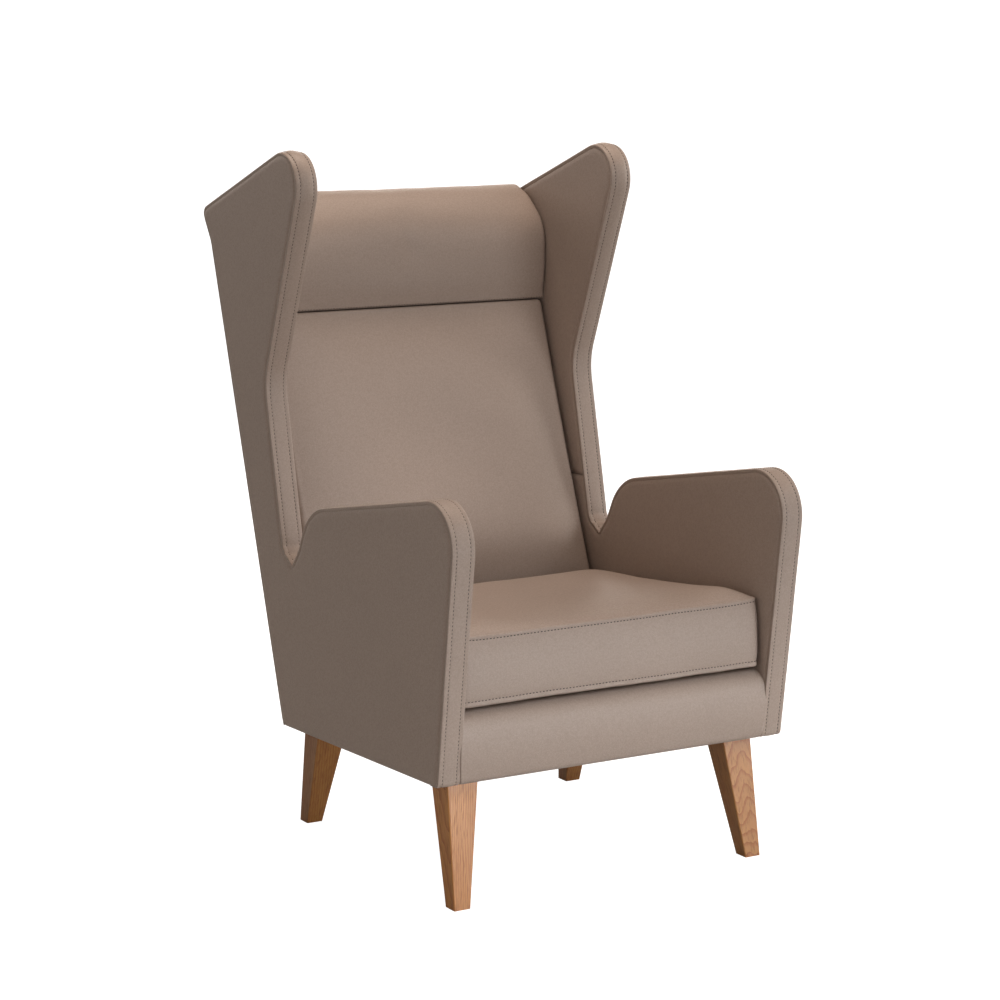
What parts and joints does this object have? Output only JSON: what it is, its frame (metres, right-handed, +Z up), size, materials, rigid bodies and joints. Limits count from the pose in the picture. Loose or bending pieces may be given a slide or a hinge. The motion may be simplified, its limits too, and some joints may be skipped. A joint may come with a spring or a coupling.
{
  "type": "high-back wing lounge chair",
  "caption": "Upholstered lounge chair with a high raked back, wings, padded arms, a head roll, a loose boxed seat cushion and splayed tapered oak legs.",
  "frame": {"origin": "on the floor under the middle of the chair's bounding box", "axes": "+X to the right as the chair is seen from the front, -Y to the front, +Z up"},
  "size_m": [0.7, 0.9542, 1.243],
  "materials": {
    "vinyl": "taupe faux leather, fine pebble grain, satin",
    "oak": "oak under a clear satin lacquer",
    "beech": "planed and left bare",
    "plywood": "sawn and left bare",
    "hardboard": "smooth pressed fibre board",
    "foam": "cut upholstery foam",
    "wadding": "white polyester wadding",
    "webbing": "woven elastic webbing",
    "black_cloth": "black spun-bonded lining cloth",
    "zip_tape": "woven tape and nylon coil",
    "zinc": "bright zinc plate"
  },
  "bodies": {
    "chair": {"side_frame_left": "plywood", "outer_foam_left": "foam", "inner_foam_left": "foam", "outer_cover_left": "vinyl", "inner_arm_cover_left": "vinyl", "inner_wing_cover_left": "vinyl", "edge_band_left": "vinyl", "side_rail_left": "beech", "upright_left": "beech", "side_frame_right": "plywood", "outer_foam_right": "foam", "inner_foam_right": "foam", "outer_cover_right": "vinyl", "inner_arm_cover_right": "vinyl", "inner_wing_cover_right": "vinyl", "edge_band_right": "vinyl", "side_rail_right": "beech", "upright_right": "beech", "front_rail": "beech", "rear_rail": "beech", "lower_back_rail": "beech", "lumbar_rail": "beech", "top_rail": "beech", "front_border_cover": "vinyl", "front_border_foam": "foam", "deck_cloth": "black_cloth", "deck_pad": "foam", "seat_strap_1": "webbing", "seat_strap_2": "webbing", "seat_strap_3": "webbing", "seat_strap_4": "webbing", "seat_strap_5": "webbing", "back_strap_1": "webbing", "back_strap_2": "webbing", "back_strap_3": "webbing", "inner_back_cover": "vinyl", "back_foam": "foam", "head_roll_cover": "vinyl", "head_roll_foam": "foam", "back_padding": "wadding", "outer_back_cover": "vinyl", "back_board": "hardboard", "leg_front_left": "oak", "leg_bolt_front_left": "zinc", "corner_block_front_left": "beech", "leg_front_right": "oak", "leg_bolt_front_right": "zinc", "corner_block_front_right": "beech", "leg_rear_left": "oak", "leg_bolt_rear_left": "zinc", "corner_block_rear_left": "beech", "leg_rear_right": "oak", "leg_bolt_rear_right": "zinc", "corner_block_rear_right": "beech", "dust_cloth": "black_cloth"},
    "seat_cushion": {"cushion_cover": "vinyl", "cushion_core": "foam", "cushion_zip": "zip_tape"},
    "zip_slider": {"zip_slider": "zinc"}
  },
  "joints": [
    {"name": "cushion_lift", "type": "slide", "parent": "chair", "child": "seat_cushion", "axis": [0, 0, 1], "range_m": [0, 0.4]},
    {"name": "zip_slide", "type": "slide", "parent": "seat_cushion", "child": "zip_slider", "axis": [1, 0, 0], "range_m": [0, 0.38]}
  ]
}
